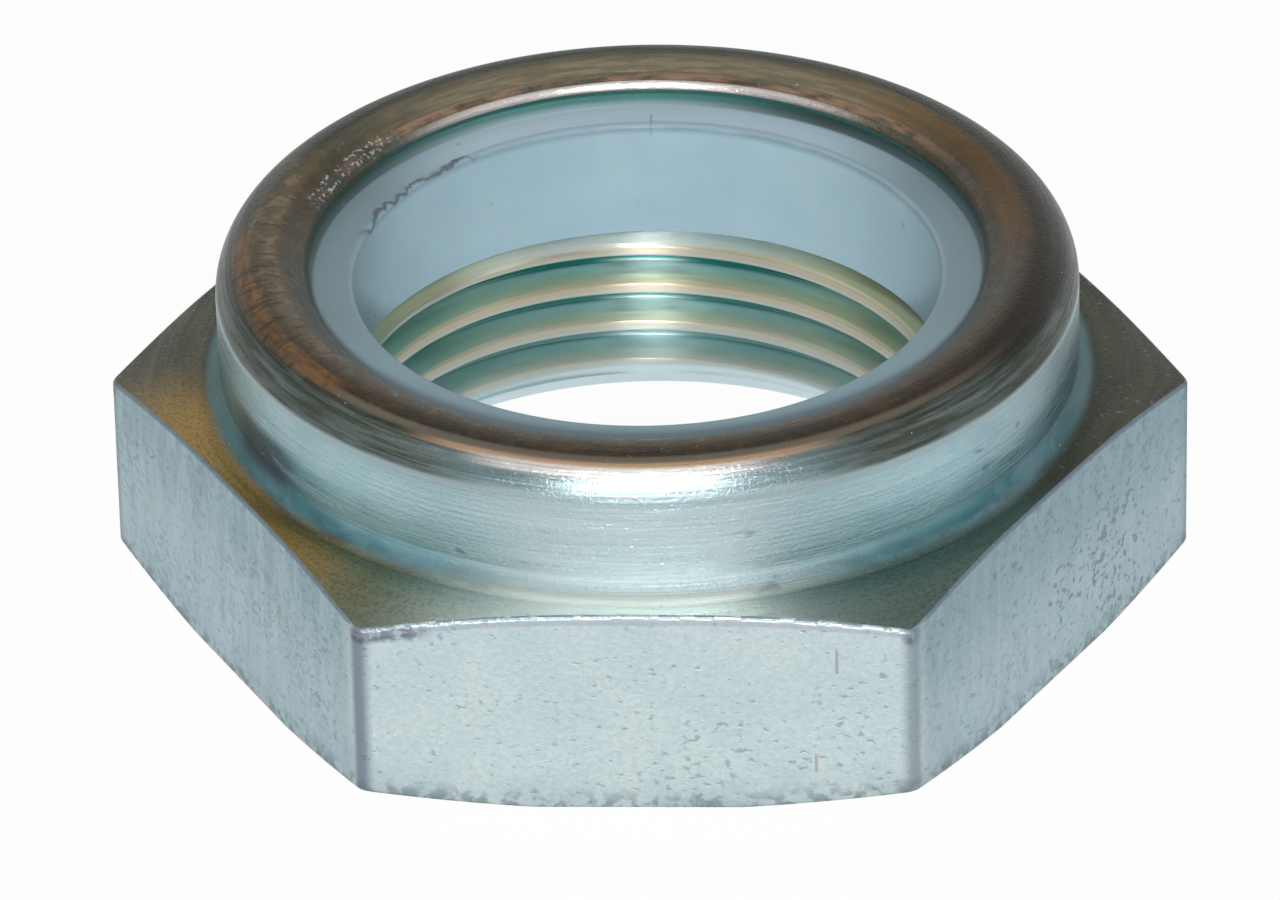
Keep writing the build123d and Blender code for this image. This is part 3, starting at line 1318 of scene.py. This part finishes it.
@dataclass(frozen=True)
class PlatedBore:
    """Tapped bore and countersink: tan crests, olive flanks and teal roots, with painted shade in the roots, painted
    highlights and a painted reflection of the floor low down.
    """

    crest: float = 11.8
    pitch: float = 1.814
    thread_start: float = -0.164
    sink_top: float = 2.0

    # Colours by the phase of a turn: tan crest; flank from olive to a near-white blue just under the root, painted that
    # pale against the shade there; dark teal root, painted shade with the plating's teal; and a pale lower crest edge
    # as a painted highlight.
    TURN_COLOURS = {
        0.0: "CDC6B0", 0.07: "D6CAB0", 0.13: "D4C9AA", 0.2: "D2D6B8", 0.27: "CCE6D0", 0.33: "CFF6F0", 0.38: "D4FCFF",
        0.405: "B0DCE0", 0.425: "3E948E", 0.47: "1E7268", 0.54: "2A7A72", 0.84: "2F7F74", 0.87: "AEB6AE",
        0.91: "CFD2CC", 1.0: "CDC6B0",
    }

    def make(self, effects: Effects) -> bpy.types.Material:
        """Builds the material.

        Args:
            effects: The shared groups.

        Returns:
            The material.
        """
        d = Dressing("plated_bore", effects)
        turn = ((d.height - self.thread_start) / self.pitch - d.angle / 360.0).fraction()
        sides = 1.0 - d.window(92.0, 14.0, 36.0)
        # The olive is painted lighter towards the root, as painted light against the shade there.
        olive = d.lay("8CBBA8", ("A6B08C", d.window(20.0, 60.0, 30.0)), ("CBE8D4", turn.ramp(0.3, 0.42) * 0.6))
        # shine: a greyer colour where the front lamp's highlight falls on the flank, painted to dim and neutralise that
        # highlight.
        shine = d.window(92.4, 4.0, 7.0) * turn.hump(0.38, 0.09, 0.06)
        cone = (d.radius + d.height - self.crest - self.sink_top).size()
        value, height = d.marks(9.0, 6.0)
        colour = d.lay(
            d.bands(turn, self.TURN_COLOURS),
            (olive, sides * turn.hump(0.31, 0.13, 0.03) * 0.8),
            ("A2B0AE", shine * 0.8),
            # The lead-in band under the nylon: olive, with a pale painted highlight at the back where the front lamp
            # falls.
            (d.lay("979F80", ("CFDAD6", 1.0 - sides)), d.height.ramp(7.72, 7.8) * 0.85),
            # The countersink and the lowest turns are painted pale, a painted reflection of the pale floor under the
            # nut.
            ("E4F6FC", 1.0 - cone.ramp(0.02, 0.08)),
            ("C4DEE2", (1.0 - d.height.ramp(2.0, 6.0)) * 0.4),
            ("E6FAFF", 1.0 - d.height.ramp(1.2, 2.6)),
            ("FFFFFF", value * 0.14, "SOFT_LIGHT"),
        )
        return d.finish(colour, 0.88, 0.3 + value * 0.06, height, 0.004, anisotropic=0.9, anisotropic_rotation=0.25)


@dataclass(frozen=True)
class PlatedPlain:
    """Bearing face, pocket and seat: even zinc with faint turning marks."""

    def make(self, effects: Effects) -> bpy.types.Material:
        """Builds the material.

        Args:
            effects: The shared groups.

        Returns:
            The material.
        """
        d = Dressing("plated_plain", effects)
        value, height = d.marks(5.0, 2.5)
        colour = d.lay(
            "97A7AB",
            ("A9B5B4", d.cloud(0.4)),
            ("7E7660", d.cloud(0.22, 0.5, 0.75) * 0.4),
            ("FFFFFF", value * 0.15, "SOFT_LIGHT"),
        )
        return d.finish(colour, 0.9, 0.36 + value * 0.1, height, 0.02)


@dataclass(frozen=True)
class MilkyNylon:
    """Milky grey-blue nylon, a little translucent, with a stained edge, and painted light and shade on its top face and
    under the lip.
    """

    edge_run: float = 0.0

    # Colours of the top face by radius, darkening to teal outwards: painted shade under the lip.
    UNDER_LIP_SHADE = {13.5: "AEC4CA", 13.8: "A0C0C3", 14.0: "7CAEAC", 14.4: "55A69D"}

    def make(self, effects: Effects) -> bpy.types.Material:
        """Builds the material.

        Args:
            effects: The shared groups.

        Returns:
            The material.
        """
        d = Dressing("milky_nylon", effects)
        top = 1.0 - d.run.ramp(self.edge_run - 0.2, self.edge_run + 0.1)
        sides = d.window(182.0, 30.0, 40.0).most(d.window(8.0, 50.0, 36.0))
        wander = d.streaks(7.0, 0.0, 0.2, 0.8, 3.0) - 0.5
        spread = d.streaks(9.0, 0.5) * 0.14
        off = (d.run - self.edge_run + 0.1 + wander * 0.8).size()
        stain = (1.0 - off.ramp(spread, spread + 0.12)) * d.window(147.0, 15.0, 6.0)
        hair = (1.0 - (d.run - self.edge_run - 0.1).size().ramp(0.03, 0.12)) * d.streaks(6.0, 1.0, 0.3, 0.6)
        colour = d.lay(
            "99B5C2",
            ("A0BBC6", d.cloud(0.25)),
            # The top face is painted darker, as painted shade, and lighter at the back, as painted light where the
            # front lamp reaches past the lip; the front gets a middle tone.
            ("7E949A", top * 0.85),
            ("8DA8B2", top * d.window(272.0, 50.0, 30.0) * 0.7),
            ("BCD3DF", top * d.window(92.0, 30.0, 34.0) * 0.9),
            ("839DA8", d.run.hump(0.05, 0.12, 0.3) * d.window(92.0, 60.0, 40.0) * 0.75),
            (d.bands(d.radius, self.UNDER_LIP_SHADE), d.radius.ramp(13.4, 13.75) * top),
            # A painted shadow of the lip on the sides of the top face.
            ("2C3534", d.radius.ramp(13.42, 13.64) * top * sides * 0.8),
            ("6C7E80", d.window(236.0, 10.0, 24.0) * d.run.ramp(-0.3, 0.6) * 0.3),
            ("4C585F", stain * 0.85),
            ("7B8F98", d.window(91.0, 0.12, 0.2, (-0.2, 0.5, 0.3)) * 0.6),
            ("66757C", hair * (0.15 + d.window(20.0, 60.0, 30.0) * 0.3)),
            ("7B8A90", d.specks(d.point, 1.4, 0.72, 0.05, 0.3, 0.1) * 0.5),
        )
        value, height = d.marks(3.0, 3.0)
        rough = 0.48 + value * 0.06
        return d.finish(colour, 0.0, rough, height, 0.006, subsurface_weight=0.25, subsurface_scale=0.001)


@dataclass
class Studio:
    """Pale floor, soft lamps and the camera. Angles in degrees, the camera's lengths in millimetres."""

    tilt: float = 31.40
    roll: float = -1.215
    turn: float = 2.405
    distance: float = 12 * ACROSS_FLATS
    pan: float = -0.0115 * ACROSS_FLATS
    rise: float = -0.0725 * ACROSS_FLATS
    target_height: float = 8.264
    focal: float = 935 * 12 / IMAGE_WIDTH * SENSOR_WIDTH
    lamp_target: float = 0.008
    floor_half: float = 3.0

    WHITE = (1.0, 1.0, 1.0, 1.0)

    def camera(self) -> None:
        """The camera, on the side of the flat that faces -Y."""
        tilt, roll = radians(self.tilt), radians(self.roll)
        ahead = Vector((0.0, cos(tilt), -sin(tilt)))
        right = Vector((1.0, 0.0, 0.0))
        up = Vector((0.0, sin(tilt), cos(tilt)))
        place = -ahead * self.distance + right * self.pan + up * self.rise
        axes = Matrix((right * cos(roll) + up * sin(roll), up * cos(roll) - right * sin(roll), -ahead))
        spin = Matrix.Rotation(radians(self.turn), 4, "Z")
        lift = Matrix.Translation((0.0, 0.0, self.target_height * MM))
        data = bpy.data.cameras.new("camera")
        data.sensor_width = SENSOR_WIDTH
        data.lens = self.focal
        data.clip_start = 0.01
        camera = link("camera", data)
        camera.matrix_world = lift @ spin @ Matrix.Translation(place * MM) @ axes.transposed().to_4x4()
        bpy.context.scene.camera = camera

    @staticmethod
    def _rays(g: Graph) -> tuple[Number, Number]:
        """Whether the camera looks on directly, and whether it looks on by a mirror or a glass.

        Args:
            g: Graph of the material or the world.

        Returns:
            The two masks.
        """
        path = g.add("ShaderNodeLightPath").outputs
        seen, glossy, passed = (Number(g, path[f"Is {kind} Ray"]) for kind in ("Camera", "Glossy", "Transmission"))
        return seen, glossy.most(passed)

    def floor(self) -> None:
        """A wide pale floor."""
        mesh = bpy.data.meshes.new("floor")
        size = self.floor_half
        mesh.from_pydata([(-size, -size, 0), (size, -size, 0), (size, size, 0), (-size, size, 0)], [], [(0, 1, 2, 3)])
        floor = link("floor", mesh)
        material = bpy.data.materials.new("pale_floor")
        material.use_nodes = True
        tree = material.node_tree
        tree.nodes.clear()
        g = Graph(tree)
        seen, mirrored = self._rays(g)
        dull = g.output("ShaderNodeBsdfDiffuse", {"Color": (0.8, 0.8, 0.8, 1.0)})
        glow = g.output("ShaderNodeEmission", {"Color": self.WHITE, "Strength": 1.0})
        mixed = g.output("ShaderNodeMixShader", {0: (seen * 0.97).most(mirrored * 0.66), 1: dull, 2: glow})
        g.add("ShaderNodeOutputMaterial", {0: mixed})
        mesh.materials.append(material)

    def lamp(self, name: str, place: tuple[float, float, float], size: float, power: float) -> None:
        """A soft square lamp that looks at the nut.

        Args:
            name: Name of the lamp.
            place: Where it stands, in metres.
            size: Length of its sides, in metres.
            power: Its power, in watts.
        """
        data = bpy.data.lights.new(name, "AREA")
        data.size = size
        data.energy = power
        lamp = link(name, data)
        lamp.location = place
        aim = Vector((0.0, 0.0, self.lamp_target)) - Vector(place)
        lamp.rotation_euler = aim.to_track_quat("-Z", "Y").to_euler()

    def world(self) -> None:
        """Plain soft light all round."""
        world = bpy.data.worlds.new("studio")
        world.use_nodes = True
        bpy.context.scene.world = world
        world.node_tree.nodes.clear()
        g = Graph(world.node_tree)
        seen, mirrored = self._rays(g)
        _, _, up = g.parts(g.add("ShaderNodeTexCoord").outputs["Generated"])
        strength = g.lift(0.3).mix(0.95 - up.ramp(0.0, 0.75) * 0.35, mirrored)
        dim = g.output("ShaderNodeBackground", {"Color": (0.97, 0.98, 1.0, 1.0), "Strength": strength})
        pale = g.output("ShaderNodeBackground", {"Color": self.WHITE, "Strength": 1.0})
        mixed = g.output("ShaderNodeMixShader", {0: seen, 1: dim, 2: pale})
        g.add("ShaderNodeOutputWorld", {0: mixed})

    def build(self) -> None:
        """Sets everything up."""
        self.camera()
        self.floor()
        self.world()
        self.lamp("front_lamp", (0.015, -0.46, 0.215), 0.05, 2.2)
        self.lamp("left_lamp", (-0.5, -0.2, 0.3), 0.3, 0.35)
        self.lamp("right_lamp", (0.5, -0.2, 0.3), 0.3, 0.25)
        bpy.context.scene.view_settings.view_transform = "Standard"


def main() -> None:
    """Builds the nut and the studio."""
    logging.basicConfig(level=logging.INFO, format="%(name)s: %(message)s")
    Studio().build()
    effects = Effects()
    body = NutBody()
    ring = NylonRing()
    materials = {
        Finish.FLATS: PlatedFlats(*body.flat_runs()).make(effects),
        Finish.TURNED: PlatedTurning().make(effects),
        Finish.BORE: PlatedBore().make(effects),
        Finish.HIDDEN: PlatedPlain().make(effects),
    }
    tree = TurningTree()
    body.make(tree, materials)
    ring.make(tree, MilkyNylon().make(effects))
    LOG.info("done")


if __name__ == "__main__":
    main()
